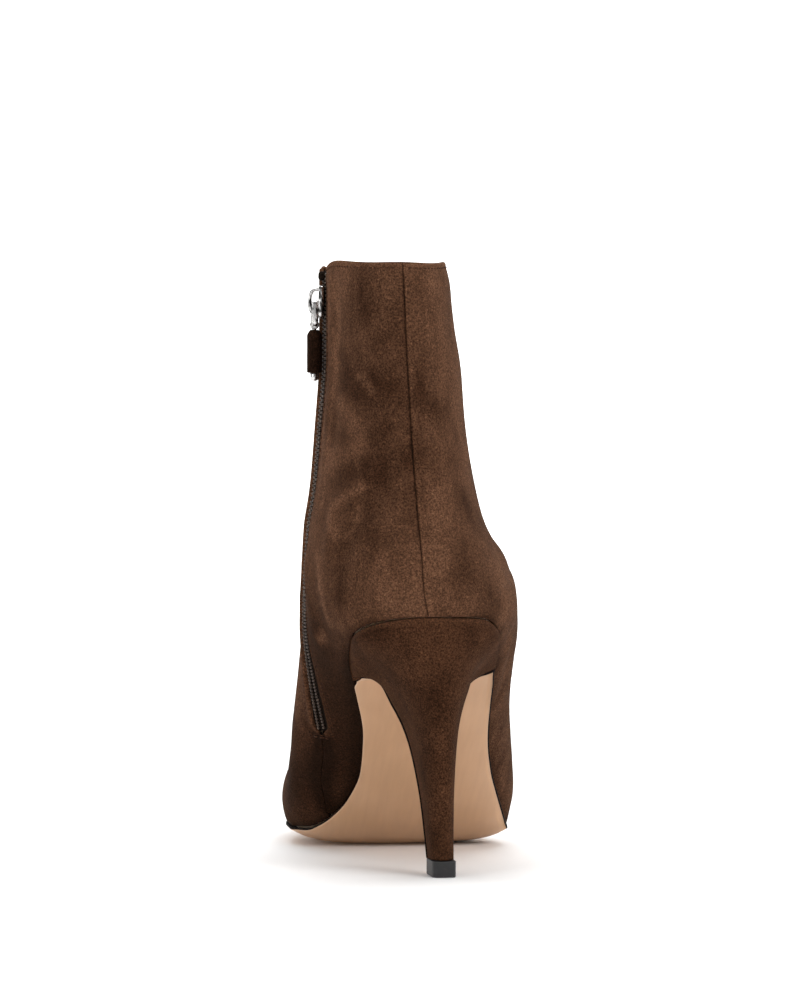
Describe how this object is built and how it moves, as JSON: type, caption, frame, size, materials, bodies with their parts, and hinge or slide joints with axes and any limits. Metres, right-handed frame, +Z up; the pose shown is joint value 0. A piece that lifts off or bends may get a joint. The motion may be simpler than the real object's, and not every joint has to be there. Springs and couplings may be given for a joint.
{
  "type": "heeled ankle boot",
  "caption": "High-heeled suede ankle boot for the right foot with an inner side zip, tapered covered heel, leather sole turned down the heel's front, and a hanging zip pull",
  "frame": {"origin": "centre of the boot's box on the floor", "axes": "+Y to the toe, +X to the wearer's right (the outer side), +Z up"},
  "size_m": [0.09, 0.2374, 0.2141],
  "materials": {
    "brown_suede": "dark brown suede with a short brushed nap",
    "sock_leather": "smooth beige sock and lining leather",
    "tan_sole_leather": "satin tan sole leather with a dark painted edge",
    "dark_lift_rubber": "dark grey hard rubber",
    "brown_zip": "woven brown tape with bronze-brown coil teeth",
    "bright_metal": "bright plated metal"
  },
  "bodies": {
    "boot": {"upper": "brown_suede", "insole": "sock_leather", "outsole": "tan_sole_leather", "heel": "brown_suede", "top_lift": "dark_lift_rubber", "zip_chain": "brown_zip", "zip_slider": "bright_metal"},
    "link": {"pull_link": "bright_metal"},
    "pull": {"pull_pin": "bright_metal", "pull_barrel": "brown_suede"}
  },
  "joints": [
    {"name": "link_swing", "type": "hinge", "parent": "boot", "child": "link", "pos_m": [-0.04204, -0.06413, 0.203], "axis": [-0.0015, 1, 0.003], "range_deg": [0, 120]},
    {"name": "pull_swing", "type": "hinge", "parent": "link", "child": "pull", "pos_m": [-0.04204, -0.0641, 0.1948], "axis": [-0.0015, 1, 0.003], "range_deg": [0, 80]}
  ]
}
